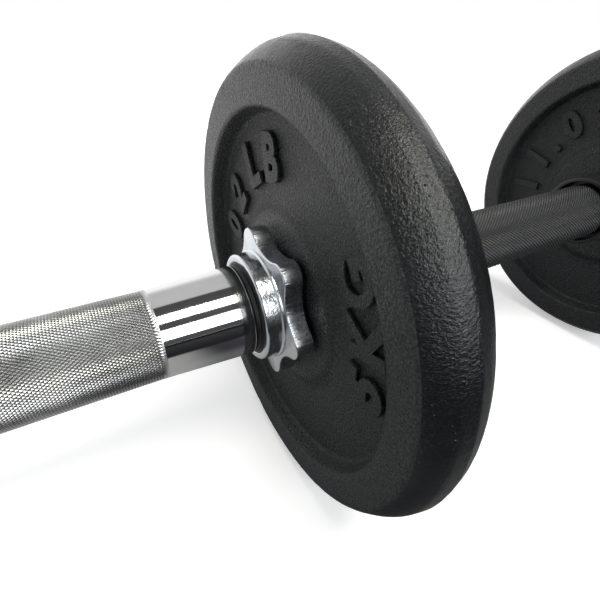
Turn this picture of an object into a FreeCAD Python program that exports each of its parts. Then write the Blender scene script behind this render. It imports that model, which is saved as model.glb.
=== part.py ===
import FreeCAD, Part
import math
import os

# Adjustable dumbbell with a screwed-on connector tube.
# Millimetres. X runs along the bar, Z is up, and the origin is on the bar's
# axis in the middle of the grip. The connector end is the -X end ("near"),
# and the free bar end is the +X end ("far").

NEAR = -1.0
FAR = 1.0
AXIS = FreeCAD.Vector(1, 0, 0)
ORIGIN = FreeCAD.Vector(0, 0, 0)

BODY_GAP = 0.3            # air between faces of bodies that move apart
THREAD_CLEARANCE = 0.06   # radial clearance of every nut on the bar

# Bar and grip
BAR_LENGTH = 420.0
BAR_R = 12.5
BAR_CHAMFER = 1.5
RELIEF_R = 11.6           # grooves that mark off the free length of each thread
RELIEF_WIDTH = 1.2
PLATE_SPACING = 230.0     # between the two plates' inner faces
GRIP_R = 18.0
GRIP_EDGE = 0.6

# Inner collars, cups that hide the ends of the grip
COLLAR_LENGTH = 29.5
COLLAR_R = 23.0
COLLAR_CUP_R = 20.2
COLLAR_CUP_DEPTH = 8.0
COLLAR_EDGE = 0.8

# Plates, 5 kg cast iron
PLATE_R = 105.0
PLATE_THICKNESS = 30.0
PLATE_BORE_R = 14.0
PLATE_BORE_CHAMFER = 1.2
RIM_FLAT_R = 96.8         # where the flat rim face turns into the bevel
RIM_MID_R = 100.4         # the bevel is slightly convex, with a blunt corner here
RIM_MID_DEPTH = 3.9
RIM_BEVEL_R = 103.8       # where the bevel meets the outer band
RIM_BEVEL_DEPTH = 9.8
RECESS_R = 82.4
RECESS_FLOOR_R = 80.0
RECESS_DEPTH = 8.2
BOSS_INSET = 4.8          # the boss stands this much below the rim face
BOSS_R = 40.0
BOSS_FOOT_R = 45.0
RIM_ROUND = 1.5
BEVEL_ROUND = 4.0
RECESS_ROUND = 1.6

# Star nuts and their rubber rings
GASKET_THICKNESS = 1.2
GASKET_R = 22.0
GASKET_BORE_R = 13.2
STAR_THICKNESS = 8.5
STAR_LOBES = 6
STAR_TIP_R = 35.0
STAR_VALLEY_R = 27.2
STAR_TIP_ROUND = 7.0
STAR_EDGE = 0.5
NECK_FOOT_R = 25.6
NECK_FOOT_LENGTH = 0.9
NECK_R = 24.6
NECK_LENGTH = 8.2
NECK_EDGE = 0.5
NECK_CUP_R = 21.4
NECK_CUP_DEPTH = 4.0
NECK_RING_R = 21.3
NECK_RING_BORE_R = 13.6
NECK_RING_STANDOUT = 0.3
NECK_RING_EDGE = 0.7

# Connector tube
SEAL_THICKNESS = 1.5
SEAL_R = 20.0
SEAL_BORE_R = 13.2
SEAL_EDGE = 0.5
TUBE_LENGTH = 400.0
TUBE_R = 19.0
TUBE_END_R = 20.4         # the smooth bands widen slightly towards the tube's ends
TUBE_FLARE = 37.0
TUBE_BORE_R = 16.0
TUBE_EDGE = 0.8
INSERT_LENGTH = 50.0
INSERT_INSET = 1.0
INSERT_LEAD = 1.2

# Distances from the middle of the grip, the same at both ends
PLATE_IN = PLATE_SPACING / 2
PLATE_OUT = PLATE_IN + PLATE_THICKNESS
COLLAR_OUT = PLATE_IN + BOSS_INSET - BODY_GAP
COLLAR_IN = COLLAR_OUT - COLLAR_LENGTH
GRIP_END = COLLAR_IN + COLLAR_CUP_DEPTH
GASKET_IN = PLATE_OUT - BOSS_INSET + BODY_GAP
GASKET_OUT = GASKET_IN + GASKET_THICKNESS
STAR_IN = GASKET_OUT + BODY_GAP
STAR_OUT = STAR_IN + STAR_THICKNESS
NECK_OUT = STAR_OUT + NECK_LENGTH
SEAL_IN = NECK_OUT + NECK_RING_STANDOUT + BODY_GAP
SEAL_OUT = SEAL_IN + SEAL_THICKNESS
TUBE_IN = SEAL_OUT + BODY_GAP
TUBE_OUT = TUBE_IN + TUBE_LENGTH
RELIEF_IN = SEAL_IN + 0.1

# Turn of each star nut about the bar at rest, in degrees from +Y towards +Z
NEAR_NUT_TURN = 9.8
FAR_NUT_TURN = 23.0


def turned(side, outline):
    """Turn an outline of (distance from the middle, radius) about the bar."""
    points = [FreeCAD.Vector(side * s, 0, r) for s, r in outline]
    points.append(points[0])
    face = Part.Face(Part.makePolygon(points))
    return face.revolve(ORIGIN, AXIS, 360)


def ring_edges(shape, side, places):
    """Circular edges of a turned shape at the given (distance, radius)."""
    found = []
    for edge in shape.Edges:
        box = edge.BoundBox
        if box.XLength > 0.001:
            continue
        for s, r in places:
            if abs(box.XMin - side * s) < 0.01 and abs(box.ZMax - r) < 0.01:
                found.append(edge)
    return found


def rounded(shape, side, radius, places):
    """Round the circular edges of a turned shape."""
    return shape.makeFillet(radius, ring_edges(shape, side, places))


def chamfered(shape, side, size, places):
    """Chamfer the circular edges of a turned shape."""
    return shape.makeChamfer(size, ring_edges(shape, side, places))


def sleeve(side, start, end, inner_r, outer_r):
    """A plain ring between two distances from the middle."""
    outline = [(start, inner_r), (end, inner_r), (end, outer_r), (start, outer_r)]
    return turned(side, outline)


def core_bar():
    """The steel bar, threaded at both ends on its full diameter."""
    half = BAR_LENGTH / 2
    bar = Part.makeCylinder(BAR_R, BAR_LENGTH, FreeCAD.Vector(-half, 0, 0), AXIS)
    ends = ring_edges(bar, FAR, [(half, BAR_R), (-half, BAR_R)])
    bar = bar.makeChamfer(BAR_CHAMFER, ends)
    for side in (NEAR, FAR):
        relief = sleeve(side, RELIEF_IN, RELIEF_IN + RELIEF_WIDTH, RELIEF_R, BAR_R + 1)
        bar = bar.cut(relief)
    return bar.Solids[0]


def grip_sleeve():
    """The knurled grip pressed over the middle of the bar."""
    grip = sleeve(FAR, -GRIP_END, GRIP_END, BAR_R, GRIP_R)
    return chamfered(grip, FAR, GRIP_EDGE, [(GRIP_END, GRIP_R), (-GRIP_END, GRIP_R)])


def inner_collar(side):
    """A cup-shaped stop ring that the plate is clamped against."""
    outline = [
        (COLLAR_IN, COLLAR_CUP_R),
        (GRIP_END, COLLAR_CUP_R),
        (GRIP_END, BAR_R),
        (COLLAR_OUT, BAR_R),
        (COLLAR_OUT, COLLAR_R),
        (COLLAR_IN, COLLAR_R),
    ]
    collar = turned(side, outline)
    return rounded(collar, side, COLLAR_EDGE, [(COLLAR_IN, COLLAR_R), (COLLAR_OUT, COLLAR_R)])


def plate(side):
    """A cast plate with a recess on each face, a hub boss and a bevelled rim."""
    floor_in = PLATE_IN + RECESS_DEPTH
    floor_out = PLATE_OUT - RECESS_DEPTH
    middle = (PLATE_IN + PLATE_OUT) / 2
    boss_in = PLATE_IN + BOSS_INSET
    boss_out = PLATE_OUT - BOSS_INSET
    outline = [
        (boss_in, PLATE_BORE_R),
        (boss_in, BOSS_R),
        (floor_in, BOSS_FOOT_R),
        (floor_in, RECESS_FLOOR_R),
        (PLATE_IN, RECESS_R),
        (PLATE_IN, RIM_FLAT_R),
        (PLATE_IN + RIM_MID_DEPTH, RIM_MID_R),
        (PLATE_IN + RIM_BEVEL_DEPTH, RIM_BEVEL_R),
        (middle, PLATE_R),
        (PLATE_OUT - RIM_BEVEL_DEPTH, RIM_BEVEL_R),
        (PLATE_OUT - RIM_MID_DEPTH, RIM_MID_R),
        (PLATE_OUT, RIM_FLAT_R),
        (PLATE_OUT, RECESS_R),
        (floor_out, RECESS_FLOOR_R),
        (floor_out, BOSS_FOOT_R),
        (boss_out, BOSS_R),
        (boss_out, PLATE_BORE_R),
    ]
    disc = turned(side, outline)
    faces = ((PLATE_IN, floor_in, boss_in, 1), (PLATE_OUT, floor_out, boss_out, -1))
    for face_s, floor_s, boss_s, inward in faces:
        disc = rounded(disc, side, RIM_ROUND, [(face_s, RIM_FLAT_R)])
        disc = rounded(disc, side, BEVEL_ROUND, [(face_s + inward * RIM_MID_DEPTH, RIM_MID_R)])
        soft = [(face_s, RECESS_R), (floor_s, RECESS_FLOOR_R), (floor_s, BOSS_FOOT_R), (boss_s, BOSS_R)]
        disc = rounded(disc, side, RECESS_ROUND, soft)
        disc = chamfered(disc, side, PLATE_BORE_CHAMFER, [(boss_s, PLATE_BORE_R)])
    return disc


def nut_gasket(side):
    """A thin rubber washer between the nut and the plate."""
    return sleeve(side, GASKET_IN, GASKET_OUT, GASKET_BORE_R, GASKET_R)


def star_outline(x, turn):
    """The star's closed outline: round tips joined by tangent hollow arcs."""
    tip_centre_r = STAR_TIP_R - STAR_TIP_ROUND
    half_step = math.pi / STAR_LOBES
    reach = STAR_VALLEY_R - tip_centre_r * math.cos(half_step)
    across = tip_centre_r * math.sin(half_step)
    hollow = (reach ** 2 + across ** 2 - STAR_TIP_ROUND ** 2) / (2 * (STAR_TIP_ROUND - reach))
    hollow_centre_r = STAR_VALLEY_R + hollow

    def at(radius, angle):
        return FreeCAD.Vector(x, radius * math.cos(angle), radius * math.sin(angle))

    edges = []
    for lobe in range(STAR_LOBES):
        angle = math.radians(turn) + lobe * 2 * half_step
        tip_centre = at(tip_centre_r, angle)
        before = at(hollow_centre_r, angle - half_step)
        after = at(hollow_centre_r, angle + half_step)
        following = at(tip_centre_r, angle + 2 * half_step)
        share = STAR_TIP_ROUND / (STAR_TIP_ROUND + hollow)
        start = tip_centre + (before - tip_centre) * share
        end = tip_centre + (after - tip_centre) * share
        joined = following + (after - following) * share
        edges.append(Part.Arc(start, at(STAR_TIP_R, angle), end).toShape())
        edges.append(Part.Arc(end, at(STAR_VALLEY_R, angle + half_step), joined).toShape())
    return Part.Wire(edges)


def star_nut(side, turn):
    """The spin-lock nut: a lobed star with a round neck and a thread bore."""
    start = side * STAR_IN
    star = Part.Face(star_outline(start, turn)).extrude(FreeCAD.Vector(side * STAR_THICKNESS, 0, 0))
    flat_wires = [f for f in star.Faces if f.BoundBox.XLength < 0.001]
    rim_edges = [e for f in flat_wires for e in f.Edges]
    star = star.makeFillet(STAR_EDGE, rim_edges)
    bore_r = BAR_R + THREAD_CLEARANCE
    ridge_out = STAR_OUT + NECK_FOOT_LENGTH
    foot = sleeve(side, STAR_IN, ridge_out, bore_r, NECK_FOOT_R)
    neck_outline = [
        (STAR_IN, bore_r),
        (NECK_OUT - NECK_CUP_DEPTH, bore_r),
        (NECK_OUT - NECK_CUP_DEPTH, NECK_CUP_R),
        (NECK_OUT, NECK_CUP_R),
        (NECK_OUT, NECK_R),
        (STAR_IN, NECK_R),
    ]
    neck = rounded(turned(side, neck_outline), side, NECK_EDGE, [(NECK_OUT, NECK_R)])
    middle = (STAR_IN + STAR_OUT) / 2
    bore = turned(side, [(STAR_IN - 1, 0), (NECK_OUT, 0), (NECK_OUT, bore_r), (STAR_IN - 1, bore_r)])
    nut = star.cut(bore).fuse([foot, neck]).removeSplitter()
    if nut.isInside(FreeCAD.Vector(side * middle, 0, 0), 0.01, True):
        raise ValueError("the nut's bore is blocked")
    return nut.Solids[0]


def neck_ring(side):
    """The rubber ring sitting in the nut's neck."""
    start = NECK_OUT - NECK_CUP_DEPTH
    end = NECK_OUT + NECK_RING_STANDOUT
    ring = sleeve(side, start, end, NECK_RING_BORE_R, NECK_RING_R)
    return rounded(ring, side, NECK_RING_EDGE, [(end, NECK_RING_R)])


def connector_seal():
    """The rubber ring between the near nut and the connector tube."""
    ring = sleeve(NEAR, SEAL_IN, SEAL_OUT, SEAL_BORE_R, SEAL_R)
    return rounded(ring, NEAR, SEAL_EDGE, [(SEAL_IN, SEAL_R), (SEAL_OUT, SEAL_R)])


def connector_tube():
    """The steel connector tube, open at both ends and a little wider there."""
    outline = [
        (TUBE_IN, TUBE_BORE_R), (TUBE_OUT, TUBE_BORE_R), (TUBE_OUT, TUBE_END_R),
        (TUBE_OUT - TUBE_FLARE, TUBE_R), (TUBE_IN + TUBE_FLARE, TUBE_R), (TUBE_IN, TUBE_END_R),
    ]
    tube = turned(NEAR, outline)
    return chamfered(tube, NEAR, TUBE_EDGE, [(TUBE_IN, TUBE_END_R), (TUBE_OUT, TUBE_END_R)])


def connector_insert(start):
    """A threaded steel bush pressed into one end of the tube."""
    end = start + INSERT_LENGTH
    bore_r = BAR_R + THREAD_CLEARANCE
    bush = sleeve(NEAR, start, end, bore_r, TUBE_BORE_R)
    return chamfered(bush, NEAR, INSERT_LEAD, [(start, bore_r), (end, bore_r)])


def connector_end_ring():
    """The rubber ring on the connector's free end."""
    end = TUBE_OUT + SEAL_THICKNESS
    ring = sleeve(NEAR, TUBE_OUT, end, SEAL_BORE_R, SEAL_R)
    return rounded(ring, NEAR, SEAL_EDGE, [(TUBE_OUT, SEAL_R), (end, SEAL_R)])


def nodes():
    """Every node of the assembly by name."""
    return {
        "core_bar": core_bar(),
        "grip_sleeve": grip_sleeve(),
        "inner_collar_near": inner_collar(NEAR),
        "inner_collar_far": inner_collar(FAR),
        "plate_near": plate(NEAR),
        "plate_far": plate(FAR),
        "nut_gasket_near": nut_gasket(NEAR),
        "nut_gasket_far": nut_gasket(FAR),
        "star_nut_near": star_nut(NEAR, NEAR_NUT_TURN),
        "star_nut_far": star_nut(FAR, FAR_NUT_TURN),
        "neck_ring_near": neck_ring(NEAR),
        "neck_ring_far": neck_ring(FAR),
        "connector_seal": connector_seal(),
        "connector_tube": connector_tube(),
        "connector_insert_near": connector_insert(TUBE_IN + INSERT_INSET),
        "connector_insert_far": connector_insert(TUBE_OUT - INSERT_INSET - INSERT_LENGTH),
        "connector_end_ring": connector_end_ring(),
    }


os.makedirs("parts", exist_ok=True)
for name, shape in nodes().items():
    shape.exportStep(os.path.join("parts", name + ".step"))
    box = shape.BoundBox
    print(name, shape.isValid(), len(shape.Solids), round(box.XMin, 1), round(box.XMax, 1), round(shape.Volume / 1000, 1))
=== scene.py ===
# %% [markdown]
# # An adjustable dumbbell with a connector tube
# The CAD model is loaded first and stays as it is: it says where every piece is and which body it
# moves with. Each visible piece is then built again around it with finer shape and a real finish.
# X runs along the bar, Z is up, and lengths are in metres. The connector's end is -X.

import math

import bmesh
import bpy
from mathutils import Matrix, Vector, noise


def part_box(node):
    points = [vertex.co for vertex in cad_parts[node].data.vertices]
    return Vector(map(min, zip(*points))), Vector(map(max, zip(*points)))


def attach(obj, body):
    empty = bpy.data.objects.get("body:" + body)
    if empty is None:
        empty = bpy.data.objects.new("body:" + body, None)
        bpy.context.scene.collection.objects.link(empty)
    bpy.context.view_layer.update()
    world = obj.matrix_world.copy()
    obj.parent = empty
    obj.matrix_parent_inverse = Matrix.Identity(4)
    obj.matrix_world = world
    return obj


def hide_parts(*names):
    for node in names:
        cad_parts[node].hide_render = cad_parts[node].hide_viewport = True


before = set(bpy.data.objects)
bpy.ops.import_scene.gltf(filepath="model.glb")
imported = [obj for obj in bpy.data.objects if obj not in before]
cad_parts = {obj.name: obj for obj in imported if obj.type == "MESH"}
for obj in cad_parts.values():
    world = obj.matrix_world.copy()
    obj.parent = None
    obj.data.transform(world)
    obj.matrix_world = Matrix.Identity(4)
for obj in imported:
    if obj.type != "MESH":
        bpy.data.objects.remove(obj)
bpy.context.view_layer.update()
NEAR = -1
FAR = 1
MM = 0.001

# %% [markdown]
# ## Reading sizes from the frame
# The pieces must meet the CAD nodes exactly, so each length is read from a node's box. A round node
# gives its start and end along the bar, counted from the middle of the grip, and its radius.


# %% Sizes
def span(name):
    """Start, end and outer radius of a round CAD node, as distances from the middle."""
    low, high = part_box(name)
    ends = sorted((abs(low.x), abs(high.x)))
    return ends[0], ends[1], high.z


PLATE_IN, PLATE_OUT, PLATE_R = span("plate_near")
COLLAR_IN, COLLAR_OUT, COLLAR_R = span("inner_collar_near")
GASKET_IN, GASKET_OUT, GASKET_R = span("nut_gasket_near")
NUT_IN, NUT_OUT, NUT_R = span("star_nut_near")
RING_IN, RING_OUT, RING_R = span("neck_ring_near")
SEAL_IN, SEAL_OUT, SEAL_R = span("connector_seal")
TUBE_IN, TUBE_OUT, TUBE_END_R = span("connector_tube")
END_RING_IN, END_RING_OUT, END_RING_R = span("connector_end_ring")
INSERT_IN, INSERT_OUT, INSERT_R = span("connector_insert_near")
SOCKET_IN, SOCKET_OUT, SOCKET_R = span("connector_insert_far")
GRIP_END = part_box("grip_sleeve")[1].x
GRIP_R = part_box("grip_sleeve")[1].z
BAR_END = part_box("core_bar")[1].x
BAR_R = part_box("core_bar")[1].z
FLOOR_Z = -PLATE_R
THREAD_PITCH = 4 * MM
TUBE_R = 19.0 * MM
print("plate radius", round(PLATE_R, 4), "tube radius", round(TUBE_R, 4), "bar end", round(BAR_END, 4))

# %% [markdown]
# ## Turned shapes
# Nearly every piece is round about the bar, as if turned on a lathe. A closed outline of (distance
# from the middle, radius) is drawn as one flat face, its corners are rounded with a vertex bevel,
# long runs are divided, and the outline is spun once round the X axis.


# %% Outline, spin and shading helpers
def outline_mesh(side, points, rounds=()):
    """A flat outline with rounded corners; rounds is a list of (radius, corner numbers)."""
    bm = bmesh.new()
    corners = [bm.verts.new((side * s, 0, r)) for s, r in points]
    bm.faces.new(corners)
    for radius, numbers in rounds:
        bmesh.ops.bevel(
            bm, geom=[corners[n] for n in numbers], offset=radius, offset_type="OFFSET",
            affect="VERTICES", segments=5, profile=0.5, material=-1, clamp_overlap=True,
        )
    bmesh.ops.delete(bm, geom=bm.faces[:], context="FACES_ONLY")
    return bm


def divide(bm, longest):
    """Divide every edge of an outline that is longer than the given length."""
    for edge in bm.edges[:]:
        cuts = math.ceil(edge.calc_length() / longest) - 1
        if cuts > 0:
            bmesh.ops.subdivide_edges(bm, edges=[edge], cuts=cuts)


def spin_round(bm, steps):
    """Spin an outline once round the bar and close it."""
    bmesh.ops.spin(
        bm, geom=bm.verts[:] + bm.edges[:], cent=(0, 0, 0), axis=(1, 0, 0), dvec=(0, 0, 0),
        angle=math.tau, steps=steps, use_merge=True, use_duplicate=False,
    )
    bmesh.ops.remove_doubles(bm, verts=bm.verts[:], dist=1e-6)
    bmesh.ops.recalc_face_normals(bm, faces=bm.faces[:])


def shade(bm, limit=32):
    """Smooth faces, with sharp edges where two faces meet at more than the limit in degrees."""
    for face in bm.faces:
        face.smooth = True
    for edge in bm.edges:
        edge.smooth = edge.calc_face_angle(0) < math.radians(limit)


def mark_edges(bm, gain):
    """Store how far each point stands out from its neighbours, for wear along edges."""
    layer = bm.verts.layers.float.get("edge") or bm.verts.layers.float.new("edge")
    bm.normal_update()
    for v in bm.verts:
        lean = 0.0
        for e in v.link_edges:
            away = e.other_vert(v).co - v.co
            lean -= away.normalized().dot(v.normal)
        v[layer] = min(1.0, max(0.0, gain * lean / max(1, len(v.link_edges))))


def finished(name, bm, body, slot_name, *nodes):
    """Turn a bmesh into a piece that rides on a body and stands for CAD nodes."""
    mesh = bpy.data.meshes.new(name)
    bm.to_mesh(mesh)
    bm.free()
    piece = bpy.data.objects.new(name, mesh)
    bpy.context.scene.collection.objects.link(piece)
    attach(piece, body)
    if nodes:
        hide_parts(*nodes)
    triangles = sum(len(p.vertices) - 2 for p in mesh.polygons)
    print(f"{name}: {triangles} triangles on {body}")
    return piece


def turned(side, points, rounds=(), steps=96, longest=None, edge_gain=2.0):
    """A finished turned shape, ready to become a piece."""
    bm = outline_mesh(side, points, rounds)
    if longest:
        divide(bm, longest)
    spin_round(bm, steps)
    mark_edges(bm, edge_gain)
    shade(bm)
    return bm


# %% [markdown]
# ## Screw threads
# A thread could be a swept ridge, but a sweep has to be trimmed and capped. Here the wall is spun
# with many rows, and each point moves in or out by where it falls on the helix, so the solid stays
# closed and the thread can fade out where it ends.


# %% Thread helper
def thread_wave(x, angle):
    """0 in the root and 1 on the crest of the helix at this place."""
    phase = (x / THREAD_PITCH - angle / math.tau) % 1.0
    rise = abs(phase - 0.5) * 2
    return min(1.0, max(0.0, (rise - 0.3) / 0.4))


def cut_thread(bm, wall_r, depth, start, end, fade=1.2 * MM):
    """Move the points of a round wall by depth in the thread's roots, between two distances."""
    for v in bm.verts:
        radius = math.hypot(v.co.y, v.co.z)
        if abs(radius - wall_r) > 0.02 * MM:
            continue
        inside = min(abs(v.co.x) - start, end - abs(v.co.x))
        share = min(1.0, max(0.0, inside / fade))
        root = 1.0 - thread_wave(v.co.x, math.atan2(v.co.z, v.co.y))
        scale = (radius + depth * root * share) / radius
        v.co.y *= scale
        v.co.z *= scale


# %% [markdown]
# ## Node helpers and shared effects
# Every material is made of nodes that read the piece's own Object coordinates. Effects that several
# finishes share are node groups: where a point lies on a round piece, the lumps and pits of a
# casting, wear along edges, and the smears and fine scratches of handled metal.


# %% Node helpers
def node(tree, kind, inputs=None, **settings):
    """Add a node, set its options, and fill or link its inputs."""
    made = tree.nodes.new(kind)
    for key, value in settings.items():
        setattr(made, key, value)
    for key, value in (inputs or {}).items():
        if isinstance(value, bpy.types.NodeSocket):
            tree.links.new(value, made.inputs[key])
        else:
            made.inputs[key].default_value = value
    return made


def maths(tree, operation, a, b=0.5, c=0.5):
    """A Math node's result."""
    return node(tree, "ShaderNodeMath", {0: a, 1: b, 2: c}, operation=operation).outputs[0]


def ranged(tree, value, low, high, to_low=0.0, to_high=1.0):
    """A value moved smoothly from one range to another."""
    inputs = {"Value": value, "From Min": low, "From Max": high, "To Min": to_low, "To Max": to_high}
    return node(tree, "ShaderNodeMapRange", inputs, interpolation_type="SMOOTHSTEP").outputs[0]


def blended(tree, share, a, b):
    """A colour between two colours."""
    return node(tree, "ShaderNodeMix", {0: share, 6: a, 7: b}, data_type="RGBA").outputs[2]


def speckle(tree, vector, scale, detail=3.0, roughness=0.5):
    """A noise texture's value."""
    inputs = {"Vector": vector, "Scale": scale, "Detail": detail, "Roughness": roughness}
    return node(tree, "ShaderNodeTexNoise", inputs).outputs["Fac"]


def group(name, inputs, outputs):
    """An empty node group with named sockets."""
    tree = bpy.data.node_groups.new(name, "ShaderNodeTree")
    for label, kind, value in inputs:
        socket = tree.interface.new_socket(label, in_out="INPUT", socket_type="NodeSocket" + kind)
        if value is not None:
            socket.default_value = value
    for label, kind in outputs:
        tree.interface.new_socket(label, in_out="OUTPUT", socket_type="NodeSocket" + kind)
    start = tree.nodes.new("NodeGroupInput")
    end = tree.nodes.new("NodeGroupOutput")
    return tree, start.outputs, end.inputs


# The group node needs its tree before its inputs exist, so the tree is set first.
def placed(tree, shared, **inputs):
    """Place a shared group in a tree with its own values."""
    made = tree.nodes.new("ShaderNodeGroup")
    made.node_tree = shared
    for key, value in inputs.items():
        socket = made.inputs[key.replace("_", " ")]
        if isinstance(value, bpy.types.NodeSocket):
            tree.links.new(value, socket)
        else:
            socket.default_value = value
    return made.outputs


# %% Where a point lies on a round piece
round_place, given, gives = group(
    "round_place", [("Vector", "Vector", None)],
    [("Radius", "Float"), ("Turn", "Float"), ("Along", "Float")],
)
parts = node(round_place, "ShaderNodeSeparateXYZ", {0: given["Vector"]}).outputs
squares = [maths(round_place, "MULTIPLY", parts[i], parts[i]) for i in ("Y", "Z")]
radius_out = maths(round_place, "SQRT", maths(round_place, "ADD", squares[0], squares[1]))
round_place.links.new(radius_out, gives["Radius"])
round_place.links.new(maths(round_place, "ARCTAN2", parts["Z"], parts["Y"]), gives["Turn"])
round_place.links.new(parts["X"], gives["Along"])

# %% Lumps and pits of a casting
cast_grain, given, gives = group(
    "cast_grain", [("Vector", "Vector", None), ("Lumps per metre", "Float", 420.0)],
    [("Height", "Float"), ("Pits", "Float"), ("Mottle", "Float")],
)
lumps = speckle(cast_grain, given["Vector"], given["Lumps per metre"], 3.0, 0.55)
fine_scale = maths(cast_grain, "MULTIPLY", given["Lumps per metre"], 3.1)
fine = speckle(cast_grain, given["Vector"], fine_scale, 2.0, 0.5)
pit_scale = maths(cast_grain, "MULTIPLY", given["Lumps per metre"], 0.55)
cells = node(
    cast_grain, "ShaderNodeTexVoronoi", {"Vector": given["Vector"], "Scale": pit_scale},
    feature="F1",
).outputs["Distance"]
pits = ranged(cast_grain, cells, 0.05, 0.22, 1.0, 0.0)
some = ranged(cast_grain, speckle(cast_grain, given["Vector"], 60.0, 2.0), 0.52, 0.62)
pits = maths(cast_grain, "MULTIPLY", pits, some)
ridges = maths(cast_grain, "MULTIPLY_ADD", fine, 0.35, lumps)
height = maths(cast_grain, "MULTIPLY_ADD", pits, -0.8, ridges)
cast_grain.links.new(height, gives["Height"])
cast_grain.links.new(pits, gives["Pits"])
cast_grain.links.new(speckle(cast_grain, given["Vector"], 38.0, 4.0, 0.6), gives["Mottle"])

# %% Wear along edges
edge_wear, given, gives = group(
    "edge_wear", [("Vector", "Vector", None), ("Amount", "Float", 0.5)], [("Mask", "Float")],
)
standing_out = node(edge_wear, "ShaderNodeAttribute", attribute_name="edge").outputs["Fac"]
broken = speckle(edge_wear, given["Vector"], 260.0, 5.0, 0.65)
patchy = ranged(edge_wear, speckle(edge_wear, given["Vector"], 30.0, 3.0), 0.42, 0.66)
sum_of = maths(edge_wear, "MULTIPLY_ADD", broken, 0.5, standing_out)
worn = ranged(edge_wear, sum_of, 0.72, 0.98)
worn = maths(edge_wear, "MULTIPLY", worn, patchy)
edge_wear.links.new(maths(edge_wear, "MULTIPLY", worn, given["Amount"]), gives["Mask"])

# %% Smears and fine scratches of handled metal
handled, given, gives = group(
    "handled", [("Vector", "Vector", None)], [("Smears", "Float"), ("Scratches", "Float")],
)
smears = ranged(handled, speckle(handled, given["Vector"], 45.0, 4.0, 0.6), 0.35, 0.75)
stretched = node(
    handled, "ShaderNodeMapping", {"Vector": given["Vector"], "Scale": (60.0, 2600.0, 2600.0)},
).outputs[0]
hairs = speckle(handled, stretched, 1.0, 2.0, 0.5)
handled.links.new(smears, gives["Smears"])
handled.links.new(hairs, gives["Scratches"])
print("shared groups:", [t.name for t in bpy.data.node_groups])


# %% [markdown]
# ## Finishes
# One material for each finish: black enamel over rough iron, satin black, black knurl, bright zinc,
# mirror chrome, bright knurl, thread steel and moulded rubber. Colours are given, and roughness and
# bump carry most of the look.


# %% Material helper
def finish(name, metallic=0.0, **settings):
    """A material with its tree, its shader and its Object coordinates."""
    material = bpy.data.materials.new(name)
    material.use_nodes = True
    tree = material.node_tree
    shader = tree.nodes["Principled BSDF"]
    shader.inputs["Metallic"].default_value = metallic
    for key, value in settings.items():
        shader.inputs[key.replace("_", " ")].default_value = value
    coordinates = tree.nodes.new("ShaderNodeTexCoord").outputs["Object"]
    return material, tree, shader.inputs, coordinates


def bump(tree, shader, height, strength, distance):
    """Feed a height through a Bump node to the shader's normal."""
    inputs = {"Height": height, "Strength": strength, "Distance": distance}
    tree.links.new(node(tree, "ShaderNodeBump", inputs).outputs[0], shader["Normal"])


# %% Black enamel over rough cast iron
def enamel_finish(name, grain_depth, dullest, ridge):
    """Black enamel; grain_depth is the depth of the casting's grain under it, and ridge the tone painted on the
    grain's crests: crests painted lighter and hollows and pits darker, a painted highlight and shade of the
    relief.
    """
    material, tree, shader, spot = finish(name, Specular_IOR_Level=0.5)
    grain = placed(tree, cast_grain, Vector=spot, Lumps_per_metre=950.0)
    wear = placed(tree, edge_wear, Vector=spot, Amount=0.35)["Mask"]
    # Colour by the grain's height: a random mottle in the hollows, lighter crests as painted highlight, and
    # near-black pits as painted shade; the lighter worn edges are real wear.
    deep = blended(tree, grain["Mottle"], (0.0035, 0.0042, 0.0052, 1), (0.0070, 0.0080, 0.0092, 1))
    high = ranged(tree, grain["Height"], 0.50, 0.90)
    grain_tone_highlight_and_shade = blended(tree, high, deep, (ridge * 0.92, ridge, ridge * 1.08, 1))
    grain_tone_highlight_and_shade = blended(tree, grain["Pits"], grain_tone_highlight_and_shade, (0.002, 0.002, 0.0025, 1))
    tree.links.new(blended(tree, wear, grain_tone_highlight_and_shade, (0.05, 0.05, 0.05, 1)), shader["Base Color"])
    dull = ranged(tree, grain["Height"], 0.45, 0.95, dullest + 0.06, dullest - 0.05)
    tree.links.new(maths(tree, "MULTIPLY_ADD", wear, 0.10, dull), shader["Roughness"])
    bump(tree, shader, grain["Height"], 1.0, grain_depth)
    return material


enamel = enamel_finish("black_enamel", 0.80 * MM, 0.27, 0.026)
smooth_enamel = enamel_finish("black_enamel_bevel", 0.36 * MM, 0.14, 0.008)

# %% Satin black of the inner collars
satin, tree, shader, spot = finish("satin_black")
wear = placed(tree, edge_wear, Vector=spot, Amount=0.6)["Mask"]
smear = placed(tree, handled, Vector=spot)
black = blended(tree, smear["Smears"], (0.012, 0.012, 0.013, 1), (0.022, 0.022, 0.024, 1))
tree.links.new(blended(tree, wear, black, (0.22, 0.22, 0.22, 1)), shader["Base Color"])
tree.links.new(ranged(tree, smear["Smears"], 0.0, 1.0, 0.30, 0.42), shader["Roughness"])
bump(tree, shader, speckle(tree, spot, 900.0, 2.0), 0.12, 0.1 * MM)


# %% Knurled finishes
def knurled_finish(name, crest_r, depth, valley, crest, dull, metallic):
    """A knurl whose crests are rubbed lighter by wear and whose grooves are painted dark as shade."""
    material, tree, shader, spot = finish(name, metallic)
    radius = placed(tree, round_place, Vector=spot)["Radius"]
    # Colour by depth below the crests: the crest colour stands for wear, and the dark valley colour in the
    # grooves is painted shade.
    crest_wear_and_groove_shade = ranged(tree, radius, crest_r - depth * 0.95, crest_r - depth * 0.35)
    smear = placed(tree, handled, Vector=spot)
    shown = maths(tree, "MULTIPLY", crest_wear_and_groove_shade, ranged(tree, smear["Smears"], 0, 1, 0.65, 1.0))
    tree.links.new(blended(tree, shown, valley, crest), shader["Base Color"])
    tree.links.new(ranged(tree, smear["Smears"], 0, 1, dull, dull + 0.12), shader["Roughness"])
    bump(tree, shader, speckle(tree, spot, 2400.0, 2.0), 0.15, 0.05 * MM)
    return material


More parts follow.
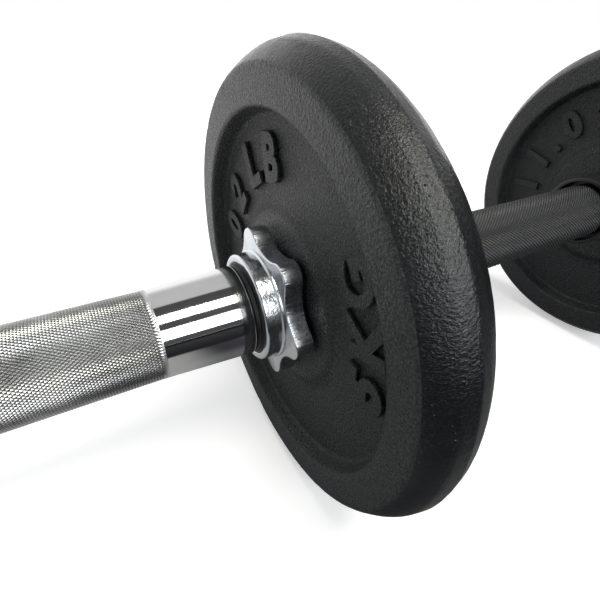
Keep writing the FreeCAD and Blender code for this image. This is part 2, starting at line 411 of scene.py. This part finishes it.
KNURL_DEPTH = 0.42 * MM
black_knurl = knurled_finish(
    "black_knurl", GRIP_R, KNURL_DEPTH, (0.003, 0.003, 0.0035, 1), (0.030, 0.032, 0.035, 1), 0.42, 0.0,
)
bright_knurl = knurled_finish(
    "bright_knurl", TUBE_R, KNURL_DEPTH, (0.20, 0.20, 0.20, 1), (0.95, 0.95, 0.94, 1), 0.30, 1.0,
)

# %% Mirror chrome
chrome, tree, shader, spot = finish("mirror_chrome", 1.0)
smear = placed(tree, handled, Vector=spot)
tone = blended(tree, smear["Smears"], (0.80, 0.80, 0.81, 1), (0.74, 0.74, 0.745, 1))
tree.links.new(tone, shader["Base Color"])
polish = ranged(tree, smear["Smears"], 0, 1, 0.035, 0.085)
tree.links.new(maths(tree, "MULTIPLY_ADD", smear["Scratches"], 0.03, polish), shader["Roughness"])
bump(tree, shader, speckle(tree, spot, 90.0, 2.0), 0.05, 0.15 * MM)

# %% Bright zinc of the star nuts
def zinc_finish(name, rough, uneven, lines_depth):
    """Bright zinc plate; lines_depth is the depth of the saw-like lines across the star's edge."""
    material, tree, shader, spot = finish(name, 1.0)
    wear = placed(tree, edge_wear, Vector=spot, Amount=0.7)["Mask"]
    cloud = speckle(tree, spot, 160.0, 4.0, 0.6)
    blued = blended(tree, cloud, (0.66, 0.70, 0.76, 1), (0.84, 0.86, 0.88, 1))
    tree.links.new(blended(tree, wear, blued, (0.93, 0.94, 0.95, 1)), shader["Base Color"])
    tree.links.new(ranged(tree, cloud, 0.3, 0.7, rough, rough + 0.10), shader["Roughness"])
    drawn = node(tree, "ShaderNodeMapping", {"Vector": spot, "Scale": (24.0, 1000.0, 1000.0)}).outputs[0]
    lines = ranged(tree, speckle(tree, drawn, 1.0, 1.0, 0.5), 0.3, 0.7)
    waves = speckle(tree, spot, 300.0, 3.0, 0.6)
    height = maths(tree, "MULTIPLY_ADD", lines, lines_depth, maths(tree, "MULTIPLY", waves, uneven))
    bump(tree, shader, height, 1.0, 1.0)
    return material


zinc = zinc_finish("bright_zinc", 0.17, 0.20 * MM, 0.0)
zinc_edge = zinc_finish("bright_zinc_star_edge", 0.22, 0.05 * MM, 0.13 * MM)

# %% Thread steel
steel, tree, shader, spot = finish("thread_steel", 1.0)
smear = placed(tree, handled, Vector=spot)
radius = placed(tree, round_place, Vector=spot)["Radius"]
# Colour by depth: the thread's roots are painted darker than its crests, as painted shade in the grooves.
crest = ranged(tree, radius, BAR_R - 1.1 * MM, BAR_R - 0.1 * MM)
tree.links.new(blended(tree, crest, (0.26, 0.25, 0.24, 1), (0.66, 0.67, 0.68, 1)), shader["Base Color"])
tree.links.new(ranged(tree, smear["Smears"], 0, 1, 0.22, 0.38), shader["Roughness"])
bump(tree, shader, smear["Scratches"], 0.15, 0.05 * MM)

# %% Moulded rubber
rubber, tree, shader, spot = finish("moulded_rubber")
place = placed(tree, round_place, Vector=spot)
bloom = ranged(tree, speckle(tree, spot, 120.0, 4.0, 0.6), 0.4, 0.75)
tree.links.new(blended(tree, bloom, (0.010, 0.010, 0.011, 1), (0.032, 0.032, 0.033, 1)), shader["Base Color"])
tree.links.new(ranged(tree, bloom, 0, 1, 0.42, 0.62), shader["Roughness"])
rings = maths(tree, "SINE", maths(tree, "MULTIPLY", place["Radius"], 9000.0))
bump(tree, shader, maths(tree, "MULTIPLY_ADD", rings, 0.3, bloom), 0.25, 0.08 * MM)
print("finishes:", [m.name for m in bpy.data.materials if m.use_nodes])

# %% [markdown]
# ## The cast plates
# Each plate is one iron casting with a hub boss, a shallow recess on both faces, a flat rim, a
# bevel and a narrow outer band. The outline is divided to about a millimetre before it is spun, so
# that real unevenness of the casting can be pressed into the mesh, and only the finest grain is
# left to the bump of the enamel.

# %% Plate sizes
RIM_FLAT_R = PLATE_R - 8.2 * MM
RIM_MID_R = PLATE_R - 4.6 * MM
RIM_MID_DEPTH = 3.9 * MM
RIM_BEVEL_R = PLATE_R - 1.2 * MM
RIM_BEVEL_DEPTH = 9.8 * MM
RECESS_R = 82.4 * MM
RECESS_FLOOR_R = 80.0 * MM
RECESS_DEPTH = 8.2 * MM
BOSS_INSET = 4.8 * MM
BOSS_R = 40.0 * MM
BOSS_FOOT_R = 45.0 * MM
BORE_R = 14.0 * MM
print("web thickness", round(PLATE_OUT - PLATE_IN - 2 * RECESS_DEPTH, 4))


# %% Casting
def roughen(bm, seed):
    """Press the slow waves and small lumps of a sand casting into the mesh."""
    shift = Vector((seed, seed * 0.37, seed * 0.71))
    bm.normal_update()
    moves = []
    for v in bm.verts:
        wave = noise.noise((v.co + shift) * 45)
        lump = noise.fractal((v.co + shift) * 190, 0.9, 2.1, 3)
        dent = max(0.0, noise.noise((v.co - shift) * 120) - 0.42)
        moves.append(v.normal * (0.10 * wave + 0.075 * lump - 0.5 * dent) * MM)
    for v, move in zip(bm.verts, moves):
        v.co += move


def plate_casting(name, side, body, cad_node, seed):
    """One plate, turned and then roughened."""
    floor_in = PLATE_IN + RECESS_DEPTH
    boss_in = PLATE_IN + BOSS_INSET
    half = [
        (boss_in, BORE_R), (boss_in, BOSS_R), (floor_in, BOSS_FOOT_R), (floor_in, RECESS_FLOOR_R),
        (PLATE_IN, RECESS_R), (PLATE_IN, RIM_FLAT_R), (PLATE_IN + RIM_MID_DEPTH, RIM_MID_R),
        (PLATE_IN + RIM_BEVEL_DEPTH, RIM_BEVEL_R),
    ]
    middle = [((PLATE_IN + PLATE_OUT) / 2, PLATE_R)]
    other = [(PLATE_OUT + PLATE_IN - s, r) for s, r in reversed(half)]
    rounds = [
        (1.0 * MM, (0, 16)), (2.0 * MM, (1, 15)), (2.4 * MM, (2, 14)), (1.6 * MM, (3, 4, 12, 13)),
        (1.3 * MM, (5, 11)), (3.4 * MM, (6, 10)), (1.2 * MM, (7, 9)),
    ]
    bm = outline_mesh(side, half + middle + other, rounds)
    divide(bm, 1.25 * MM)
    spin_round(bm, 384)
    mark_edges(bm, 2.4)
    roughen(bm, seed)
    for face in bm.faces:
        face.smooth = True
        middle = face.calc_center_median()
        if math.hypot(middle.y, middle.z) > RIM_FLAT_R + 0.6 * MM:
            face.material_index = 1
    piece = finished(name, bm, body, "plate_iron", cad_node)
    piece.data.materials.append(enamel)
    piece.data.materials.append(smooth_enamel)
    return piece


plate_casting("near_plate_casting", NEAR, "near_plate", "plate_near", 3.0)
plate_casting("far_plate_casting", FAR, "far_plate", "plate_far", 11.0)

# %% [markdown]
# ## Raised weight marks
# The weight stands out of the recess floor in kilograms and in pounds. Each character is a text
# curve with thickness and a soft bevel, made a mesh, and then set on the arc: letters whose tops
# point to the hub read along the bottom, and letters whose tops point to the rim along the top.

# %% Marks
MARK_HEIGHT = 19.5 * MM
MARK_RADIUS = 63.6 * MM
MARK_RELIEF = 2.1 * MM
BOTTOM_WORD = [("5", -19.5, 1.0), ("K", -1.6, 1.0), ("G", 17.3, 0.92)]
TOP_WORD = [
    ("1", -22, 1.0), ("1", -2, 1.0), (".", 12, 1.0), ("0", 29, 0.9), ("2", 51, 0.9),
    ("L", 76, 1.0), ("B", 96, 0.9),
]


def character(letter):
    """One solid character of the mark's height, standing on the XY plane."""
    curve = bpy.data.curves.new("mark", "FONT")
    curve.body = letter
    curve.size = 1.0
    curve.offset = 0.034
    curve.extrude = 0.05
    curve.bevel_depth = 0.02
    curve.bevel_resolution = 2
    curve.resolution_u = 6
    curve.align_x = "CENTER"
    text = bpy.data.objects.new("mark", curve)
    bpy.context.scene.collection.objects.link(text)
    bpy.context.view_layer.update()
    shaped = text.evaluated_get(bpy.context.evaluated_depsgraph_get())
    mesh = bpy.data.meshes.new_from_object(shaped)
    bpy.data.objects.remove(text)
    return mesh


def weight_marks(name, faces, body, upright):
    """All raised characters of one plate; faces lists (distance of the floor, outward side)."""
    bm = bmesh.new()
    for floor_x, outward in faces:
        normal = Vector((outward, 0, 0))
        for word, tops in ((BOTTOM_WORD, -1), (TOP_WORD, 1)):
            for letter, offset, width in word:
                middle = upright + (0 if tops > 0 else 180)
                angle = math.radians(middle - offset * outward * tops)
                radial = Vector((0, math.cos(angle), math.sin(angle)))
                up = radial * tops
                across = up.cross(normal)
                mesh = character(letter)
                size = MARK_HEIGHT / 0.74
                lift = Vector((floor_x, 0, 0)) + normal * (MARK_RELIEF - 0.07 * size * 0.62)
                foot = radial * MARK_RADIUS - up * MARK_HEIGHT / 2
                turn = Matrix((across * size * width, up * size, normal * size * 0.62)).transposed().to_4x4()
                mesh.transform(Matrix.Translation(lift + foot) @ turn)
                bm.from_mesh(mesh)
                bpy.data.meshes.remove(mesh)
    bmesh.ops.remove_doubles(bm, verts=bm.verts[:], dist=0.02 * MM)
    bmesh.ops.recalc_face_normals(bm, faces=bm.faces[:])
    mark_edges(bm, 1.2)
    shade(bm, 40)
    piece = finished(name, bm, body, "plate_iron")
    piece.data.materials.append(enamel)
    return piece


NEAR_UPRIGHT = -16.0
FAR_UPRIGHT = 20.0
weight_marks(
    "near_plate_marks",
    [(-(PLATE_OUT - RECESS_DEPTH), NEAR), (-(PLATE_IN + RECESS_DEPTH), FAR)], "near_plate", NEAR_UPRIGHT,
)
weight_marks(
    "far_plate_marks",
    [(PLATE_IN + RECESS_DEPTH, NEAR), (PLATE_OUT - RECESS_DEPTH, FAR)], "far_plate", FAR_UPRIGHT,
)

# %% [markdown]
# ## Diamond knurls
# A knurl is two sets of crossing grooves that leave rows of small pyramids. The wall is spun with
# two points to a tooth, and every second point, as on a chessboard, is pressed down. Each square is
# then split along its low corners, which gives true four-sided pyramids from very few faces.


# %% Knurl helpers
def rows_along(bm, x_start, x_end, radius, count):
    """Divide one straight run of an outline into an even number of rows."""
    for edge in bm.edges[:]:
        xs = sorted(v.co.x for v in edge.verts)
        level = all(abs(v.co.z - radius) < 1e-6 for v in edge.verts)
        if level and abs(xs[0] - x_start) < 1e-6 and abs(xs[1] - x_end) < 1e-6:
            bmesh.ops.subdivide_edges(bm, edges=[edge], cuts=count - 1)


def press_knurl(bm, x_start, x_end, radius, count, teeth, depth, fade):
    """Press a diamond knurl into a round wall between two places along the bar."""
    row = (x_end - x_start) / count
    knurled = set()
    for v in bm.verts:
        here = math.hypot(v.co.y, v.co.z)
        if abs(here - radius) > 1e-6 or not x_start - 1e-6 <= v.co.x <= x_end + 1e-6:
            continue
        knurled.add(v)
        i = round(math.atan2(v.co.z, v.co.y) / (math.pi / teeth))
        j = round((v.co.x - x_start) / row)
        share = min(1.0, min(v.co.x - x_start, x_end - v.co.x) / fade)
        if (i + j) % 2 == 0:
            scale = (here - depth * share) / here
            v.co.y *= scale
            v.co.z *= scale
    cells = [f for f in bm.faces if all(v in knurled for v in f.verts)]
    split = bmesh.ops.triangulate(bm, faces=cells, quad_method="SHORT_EDGE", ngon_method="BEAUTY")
    return split["faces"]


# %% Grip
GRIP_TEETH = 64
GRIP_ROW = 1.25 * MM
GRIP_PLAIN = 1.0 * MM


def grip_sleeve():
    """The black knurled sleeve between the inner collars."""
    end = GRIP_END - GRIP_PLAIN
    points = [
        (-GRIP_END, BAR_R), (-GRIP_END, GRIP_R - 0.6 * MM), (-end, GRIP_R),
        (end, GRIP_R), (GRIP_END, GRIP_R - 0.6 * MM), (GRIP_END, BAR_R),
    ]
    bm = outline_mesh(FAR, points)
    rows = round(2 * end / GRIP_ROW)
    rows_along(bm, -end, end, GRIP_R, rows)
    spin_round(bm, 2 * GRIP_TEETH)
    shade(bm)
    for face in press_knurl(bm, -end, end, GRIP_R, rows, GRIP_TEETH, KNURL_DEPTH, 1.5 * MM):
        face.smooth = False
    piece = finished("grip_knurl", bm, "bar", "grip_black", "grip_sleeve")
    piece.data.materials.append(black_knurl)
    return piece


grip_sleeve()

# %% [markdown]
# ## Connector tube
# The tube is bright chrome. A band at each end is left smooth and mirror-bright, and everything
# between is knurled. The knurl fades in over its first teeth, as it does where the rollers enter.

# %% Connector
TUBE_BORE_R = 16.0 * MM
SMOOTH_BAND = 37 * MM
TUBE_TEETH = 94
TUBE_ROW = 1.08 * MM


def connector_sleeve():
    """The chrome tube with its knurled length and smooth end bands, which widen slightly."""
    edge = 0.8 * MM
    points = [
        (TUBE_IN, TUBE_BORE_R), (TUBE_IN, TUBE_END_R - edge), (TUBE_IN + edge, TUBE_END_R),
        (TUBE_IN + SMOOTH_BAND, TUBE_R), (TUBE_OUT - SMOOTH_BAND, TUBE_R),
        (TUBE_OUT - edge, TUBE_END_R), (TUBE_OUT, TUBE_END_R - edge), (TUBE_OUT, TUBE_BORE_R),
    ]
    bm = outline_mesh(NEAR, points, [(0.35 * MM, (1, 2, 5, 6))])
    start, end = -(TUBE_OUT - SMOOTH_BAND), -(TUBE_IN + SMOOTH_BAND)
    rows = round((end - start) / TUBE_ROW)
    rows_along(bm, start, end, TUBE_R, rows)
    spin_round(bm, 2 * TUBE_TEETH)
    shade(bm)
    knurl_faces = press_knurl(bm, start, end, TUBE_R, rows, TUBE_TEETH, KNURL_DEPTH, 2.2 * MM)
    for face in knurl_faces:
        face.smooth = False
        face.material_index = 1
    piece = finished("connector_sleeve", bm, "connector", "tube_chrome", "connector_tube")
    piece.data.materials.append(chrome)
    piece.data.materials.append(bright_knurl)
    return piece


connector_sleeve()


# %% Threaded bushes in the tube's ends
def threaded_bush(name, start, end, outer_r, cad_node):
    """A bush with a thread in its bore and a lead-in at each mouth."""
    bore_r = BAR_R + 0.06 * MM
    lead = 1.2 * MM
    points = [
        (start, bore_r + lead), (start + lead, bore_r), (end - lead, bore_r), (end, bore_r + lead),
        (end, outer_r), (start, outer_r),
    ]
    bm = outline_mesh(NEAR, points)
    rows_along(bm, -(end - lead), -(start + lead), bore_r, round((end - start - 2 * lead) / (0.4 * MM)))
    spin_round(bm, 64)
    cut_thread(bm, bore_r, 0.9 * MM, start + lead, end - lead)
    shade(bm)
    piece = finished(name, bm, "connector", "insert_steel", cad_node)
    piece.data.materials.append(steel)
    return piece


threaded_bush("connector_bush_near", INSERT_IN, INSERT_OUT, INSERT_R, "connector_insert_near")
threaded_bush("connector_bush_free", SOCKET_IN, SOCKET_OUT, SOCKET_R, "connector_insert_far")

# %% [markdown]
# ## The bar
# The bar is hidden inside the grip, the plates and the connector, but its free threaded end shows,
# and the other end shows when the connector is unscrewed. Both ends carry the same right-hand
# thread, cut down from the bar's full diameter, with a lead-in chamfer.


# %% Bar
def threaded_bar():
    """The steel bar with a thread on each end."""
    lead = 1.5 * MM
    thread_start = PLATE_IN - 4 * MM
    points = [
        (-BAR_END, 0), (-BAR_END, BAR_R - lead), (-BAR_END + lead, BAR_R), (-thread_start, BAR_R),
        (thread_start, BAR_R), (BAR_END - lead, BAR_R), (BAR_END, BAR_R - lead), (BAR_END, 0),
    ]
    bm = bmesh.new()
    line = [bm.verts.new((s, 0, r)) for s, r in points]
    for a, b in zip(line, line[1:]):
        bm.edges.new((a, b))
    count = round((BAR_END - lead - thread_start) / (0.4 * MM))
    rows_along(bm, thread_start, BAR_END - lead, BAR_R, count)
    rows_along(bm, -BAR_END + lead, -thread_start, BAR_R, count)
    spin_round(bm, 64)
    cut_thread(bm, BAR_R, -1.1 * MM, thread_start, BAR_END - lead + 0.6 * MM)
    shade(bm)
    piece = finished("threaded_bar", bm, "bar", "bar_steel", "core_bar")
    piece.data.materials.append(steel)
    return piece


threaded_bar()


# %% [markdown]
# ## Inner collars
# Each inner collar is a cup: its rim reaches over the end of the grip with a small gap, and its
# back is the stop for the plate.


# %% Inner collars
def inner_collar(name, side, cad_node):
    """The cup-shaped collar at one end of the grip."""
    cup_r = 20.2 * MM
    points = [
        (COLLAR_IN, cup_r), (GRIP_END, cup_r), (GRIP_END, BAR_R), (COLLAR_OUT, BAR_R),
        (COLLAR_OUT, COLLAR_R), (COLLAR_IN, COLLAR_R),
    ]
    rounds = [(0.5 * MM, (0,)), (0.8 * MM, (4, 5))]
    bm = turned(side, points, rounds, steps=128, longest=2 * MM)
    piece = finished(name, bm, "bar", "collar_black", cad_node)
    piece.data.materials.append(satin)
    return piece


inner_collar("collar_cup_near", NEAR, "inner_collar_near")
inner_collar("collar_cup_far", FAR, "inner_collar_far")

# %% [markdown]
# ## Star nuts
# The star is a flat disc with six round lobes joined by hollow arcs. Two circles with the same
# number of points are made, the outer one is pulled to the lobed outline, and the two are bridged
# and extruded. The neck is turned, with a small ridge where it meets the star.

# %% Star outline
STAR_LOBES = 6
STAR_TIP_R = 35.0 * MM
STAR_VALLEY_R = 27.2 * MM
STAR_TIP_ROUND = 7.0 * MM
STAR_THICKNESS = 8.5 * MM
NECK_R = 24.6 * MM
NECK_FOOT_R = 25.6 * MM
NECK_CUP_R = 21.4 * MM
NECK_CUP_DEPTH = 4.0 * MM
NEAR_NUT_TURN = 9.8
FAR_NUT_TURN = 23.0


def star_radius(angle):
    """Radius of the star's edge at an angle from a lobe's middle, in radians."""
    half_step = math.pi / STAR_LOBES
    tip_r = STAR_TIP_R - STAR_TIP_ROUND
    reach = STAR_VALLEY_R - tip_r * math.cos(half_step)
    side = tip_r * math.sin(half_step)
    hollow = (reach ** 2 + side ** 2 - STAR_TIP_ROUND ** 2) / (2 * (STAR_TIP_ROUND - reach))
    hollow_r = STAR_VALLEY_R + hollow
    share = STAR_TIP_ROUND / (STAR_TIP_ROUND + hollow)
    meet_x = tip_r + (hollow_r * math.cos(half_step) - tip_r) * share
    meet_y = hollow_r * math.sin(half_step) * share
    off = abs((angle + half_step) % (2 * half_step) - half_step)
    if off <= math.atan2(meet_y, meet_x):
        return tip_r * math.cos(off) + math.sqrt(STAR_TIP_ROUND ** 2 - (tip_r * math.sin(off)) ** 2)
    off = half_step - off
    return hollow_r * math.cos(off) - math.sqrt(hollow ** 2 - (hollow_r * math.sin(off)) ** 2)


# %% Star nut
def star_disc(side, turn):
    """The lobed disc with its bore."""
    bm = bmesh.new()
    steps = 288
    stand_up = Matrix.Rotation(math.pi / 2, 4, "Y")
    outer = bmesh.ops.create_circle(bm, segments=steps, radius=1.0)["verts"]
    inner = bmesh.ops.create_circle(bm, segments=steps, radius=13.6 * MM)["verts"]
    for v in bm.verts:
        v.co = stand_up @ v.co
    for v in outer:
        angle = math.atan2(v.co.z, v.co.y)
        v.co *= star_radius(angle - math.radians(turn))
    bmesh.ops.bridge_loops(bm, edges=bm.edges[:])
    for v in bm.verts:
        v.co.x = side * NUT_IN
    grown = bmesh.ops.extrude_face_region(bm, geom=bm.faces[:], use_keep_orig=True)
    for v in [g for g in grown["geom"] if isinstance(g, bmesh.types.BMVert)]:
        v.co.x = side * (NUT_IN + STAR_THICKNESS)
    bmesh.ops.recalc_face_normals(bm, faces=bm.faces[:])
    rim = [e for e in bm.edges if e.calc_face_angle(0) > 1.0 and e.verts[0].co.length > 0.2 * STAR_TIP_R
           and min(math.hypot(v.co.y, v.co.z) for v in e.verts) > 20 * MM]
    bmesh.ops.bevel(
        bm, geom=rim, offset=0.6 * MM, offset_type="OFFSET", affect="EDGES", segments=3,
        profile=0.5, material=-1, clamp_overlap=True,
    )
    bm.normal_update()
    for face in bm.faces:
        if abs(face.normal.x) < 0.3:
            face.material_index = 1
    return bm


def star_nut(name, side, turn, body, cad_node):
    """The spin-lock nut: star disc, neck and threaded bore."""
    bm = star_disc(side, turn)
    star = bpy.data.meshes.new("star")
    bm.to_mesh(star)
    bm.free()
    star_out = NUT_IN + STAR_THICKNESS
    bore_r = BAR_R + 0.06 * MM
    lead = 0.8 * MM
    cup_floor = NUT_OUT - NECK_CUP_DEPTH
    points = [
        (NUT_IN, bore_r + lead), (NUT_IN + lead, bore_r), (cup_floor, bore_r), (cup_floor, NECK_CUP_R),
        (NUT_OUT, NECK_CUP_R), (NUT_OUT, NECK_R), (star_out + 1.3 * MM, NECK_R),
        (star_out + 0.9 * MM, NECK_FOOT_R), (star_out - 1 * MM, NECK_FOOT_R), (star_out - 1 * MM, 16 * MM),
        (NUT_IN, 16 * MM),
    ]
    rounds = [(0.4 * MM, (4,)), (1.1 * MM, (5,)), (0.25 * MM, (6, 7))]
    bm = outline_mesh(side, points, rounds)
    ends = sorted((side * (NUT_IN + lead), side * cup_floor))
    rows_along(bm, ends[0], ends[1], bore_r, round((cup_floor - NUT_IN - lead) / (0.4 * MM)))
    spin_round(bm, 144)
    cut_thread(bm, bore_r, 0.9 * MM, NUT_IN + lead, cup_floor)
    bm.from_mesh(star)
    bpy.data.meshes.remove(star)
    mark_edges(bm, 1.6)
    shade(bm)
    piece = finished(name, bm, body, "nut_zinc", cad_node)
    piece.data.materials.append(zinc)
    piece.data.materials.append(zinc_edge)
    return piece


star_nut("spin_nut_near", NEAR, NEAR_NUT_TURN, "near_nut", "star_nut_near")
star_nut("spin_nut_far", FAR, FAR_NUT_TURN, "far_nut", "star_nut_far")

# %% [markdown]
# ## Rubber rings
# Rubber washers sit under the stars, in the nuts' necks and at the tube's ends. The neck rings and
# the tube's rings have shallow round grooves moulded into them, which are real steps in the outline.


# %% Rubber rings
def rubber_ring(name, side, points, rounds, body, cad_node):
    """A turned rubber ring."""
    bm = turned(side, points, rounds, steps=144, edge_gain=1.0)
    piece = finished(name, bm, body, "rubber_black", cad_node)
    piece.data.materials.append(rubber)
    return piece


def washer(name, side, body, cad_node):
    """The plain washer between star and boss."""
    points = [(GASKET_IN, 13.2 * MM), (GASKET_OUT, 13.2 * MM), (GASKET_OUT, GASKET_R), (GASKET_IN, GASKET_R)]
    return rubber_ring(name, side, points, [(0.3 * MM, (2, 3))], body, cad_node)


def neck_ring(name, side, body, cad_node):
    """The ring in the neck, with a groove and a lip."""
    inner = 13.6 * MM
    points = [
        (RING_IN, inner), (RING_OUT, inner), (RING_OUT, 19.4 * MM), (RING_OUT - 0.5 * MM, 19.7 * MM),
        (RING_OUT - 0.5 * MM, 20.1 * MM), (RING_OUT - 0.1 * MM, 20.3 * MM), (RING_OUT - 0.3 * MM, RING_R),
        (RING_IN, RING_R),
    ]
    return rubber_ring(name, side, points, [(0.25 * MM, (2, 5, 6))], body, cad_node)


def tube_ring(name, start, end, outer_r, body, cad_node):
    """The ring at an end of the tube, with one groove round it."""
    inner = 13.2 * MM
    third = (end - start) / 3
    points = [
        (start, inner), (end, inner), (end, outer_r), (end - third, outer_r),
        ((start + end) / 2, outer_r - 0.3 * MM), (start + third, outer_r), (start, outer_r),
    ]
    return rubber_ring(name, NEAR, points, [(0.2 * MM, (2, 3, 5, 6))], body, cad_node)


washer("nut_washer_near", NEAR, "near_washer", "nut_gasket_near")
washer("nut_washer_far", FAR, "far_washer", "nut_gasket_far")
neck_ring("neck_rubber_near", NEAR, "near_nut", "neck_ring_near")
neck_ring("neck_rubber_far", FAR, "far_nut", "neck_ring_far")
tube_ring("tube_rubber_near", SEAL_IN, SEAL_OUT, SEAL_R, "connector_seal", "connector_seal")
tube_ring("tube_rubber_free", END_RING_IN, END_RING_OUT, END_RING_R, "connector", "connector_end_ring")

# %% [markdown]
# ## Stage, light and camera
# The dumbbell rests with its plates on a floor that is pale to the camera. One soft panel overhead and
# one in front give the chrome its long stripes. Its black band and other dark and bright bands are a
# painted reflection: patches painted on the floor that only reflections see, with a dark zone in the
# world's light overhead and in front.


# %% Floor
def pale_floor_and_painted_patches():
    """A wide floor under the plates: pale and glowing for the camera, with a painted reflection of dark and
    bright patches that only reflections see.
    """
    bm = bmesh.new()
    bmesh.ops.create_grid(bm, x_segments=2, y_segments=2, size=30)
    bmesh.ops.translate(bm, vec=(0, 0, FLOOR_Z), verts=bm.verts[:])
    mesh = bpy.data.meshes.new("floor")
    bm.to_mesh(mesh)
    bm.free()
    floor = bpy.data.objects.new("floor", mesh)
    bpy.context.scene.collection.objects.link(floor)
    material, tree, shader, spot = finish("floor_paint", Roughness=0.9, Specular_IOR_Level=0.1)
    tone = ranged(tree, speckle(tree, spot, 3.0, 2.0), 0.3, 0.7, 0.0, 1.0)
    pale = blended(tree, tone, (0.90, 0.90, 0.90, 1), (0.94, 0.94, 0.94, 1))
    place = node(tree, "ShaderNodeSeparateXYZ", {0: spot}).outputs
    # Painted reflection: dark and bright patches on the floor, placed along X and Y, that only reflections see.
    # They give the chrome and the plates their dark and bright bands.
    painted_dark_patch = blended(tree, ranged(tree, place["X"], -0.13, -0.08), (0.04, 0.04, 0.045, 1), (0.24, 0.24, 0.24, 1))
    painted_dark_patch = blended(tree, ranged(tree, place["Y"], -0.09, -0.02), painted_dark_patch, (0.12, 0.125, 0.13, 1))
    painted_reflection = blended(tree, ranged(tree, place["X"], -0.19, -0.15, 1.0, 0.0), painted_dark_patch, (0.38, 0.38, 0.37, 1))
    painted_reflection = blended(tree, ranged(tree, place["Y"], 0.03, 0.38), painted_reflection, (1.10, 1.10, 1.09, 1))
    painted_reflection = blended(tree, ranged(tree, place["Y"], -0.19, -0.16, 1.0, 0.0), painted_reflection, (0.006, 0.006, 0.008, 1))
    # Reflections see no lit floor, only these painted patches glowing as emission; the camera and diffuse light
    # see the pale floor.
    ray = node(tree, "ShaderNodeLightPath").outputs
    black = (0, 0, 0, 1)
    tree.links.new(blended(tree, ray["Is Glossy Ray"], pale, black), shader["Base Color"])
    tree.links.new(blended(tree, ray["Is Glossy Ray"], (1, 1, 1, 1), painted_reflection), shader["Emission Color"])
    # Painted glow: for the camera the floor glows, weakly near the plates and fully white further off.
    distance = node(tree, "ShaderNodeVectorMath", {0: spot}, operation="LENGTH").outputs["Value"]
    painted_glow = ranged(tree, distance, 0.2, 0.8, 0.42, 1.0)
    seen = maths(tree, "MULTIPLY", painted_glow, ray["Is Camera Ray"])
    tree.links.new(maths(tree, "ADD", seen, ray["Is Glossy Ray"]), shader["Emission Strength"])
    mesh.materials.append(material)
    return floor


pale_floor_and_painted_patches()


# %% Lights
def panel(name, place, target, width, height, power, colour=(1, 1, 1)):
    """A soft rectangular light that looks at a point."""
    light = bpy.data.lights.new(name, "AREA")
    light.shape = "RECTANGLE"
    light.size = width
    light.size_y = height
    light.energy = power
    light.color = colour
    lamp = bpy.data.objects.new(name, light)
    lamp.location = place
    lamp.visible_camera = False
    lamp.rotation_mode = "QUATERNION"
    lamp.rotation_quaternion = (Vector(target) - Vector(place)).to_track_quat("-Z", "Y")
    bpy.context.scene.collection.objects.link(lamp)
    return lamp


panel("strip", (0.14, -0.58, 1.18), (0.14, 0.0, 0.0), 0.96, 0.42, 13, (1.0, 1.0, 0.90))
panel("window", (0.14, -1.45, 0.68), (0.14, 0.0, 0.0), 1.2, 0.70, 16, (0.95, 0.98, 1.0))


# %% Studio walls
def studio_walls():
    """A white room: grey behind the object, dark overhead and in front, white where it is seen."""
    world = bpy.data.worlds.new("studio")
    world.use_nodes = True
    tree = world.node_tree
    shader = tree.nodes["Background"].inputs
    direction = tree.nodes.new("ShaderNodeTexCoord").outputs["Generated"]
    parts = node(tree, "ShaderNodeSeparateXYZ", {0: direction}).outputs
    height = maths(tree, "ARCTAN2", parts["Z"], parts["Y"])
    dark = ranged(tree, height, math.radians(80), math.radians(84))
    side_on = ranged(tree, parts["X"], -0.9, -0.7)
    dark = maths(tree, "MULTIPLY", dark, side_on)
    horizon = ranged(tree, height, math.radians(12), math.radians(38), 1.0, 0.0)
    bright = blended(tree, horizon, (0.60, 0.60, 0.60, 1), (1.15, 1.15, 1.15, 1))
    walls = blended(tree, dark, bright, (0.075, 0.080, 0.078, 1))
    seen = node(tree, "ShaderNodeLightPath").outputs["Is Camera Ray"]
    tree.links.new(blended(tree, seen, walls, (1.0, 1.0, 1.0, 1)), shader["Color"])
    shader["Strength"].default_value = 1.0
    bpy.context.scene.world = world


studio_walls()

# %% Camera
CAMERA_PLACE = Vector((-0.2106, -0.1474, 0.1054))
CAMERA_LOOK = Vector((0.4009, 0.7341, -0.5481))
camera_data = bpy.data.cameras.new("camera")
camera_data.lens = 24.6
camera_data.sensor_width = 36.0
camera_data.clip_start = 0.01
camera = bpy.data.objects.new("camera", camera_data)
camera.location = CAMERA_PLACE
camera.rotation_mode = "QUATERNION"
camera.rotation_quaternion = CAMERA_LOOK.to_track_quat("-Z", "Y")
bpy.context.scene.collection.objects.link(camera)
bpy.context.scene.camera = camera
bpy.context.scene.view_settings.view_transform = "Standard"
print("camera at", [round(x, 3) for x in CAMERA_PLACE])
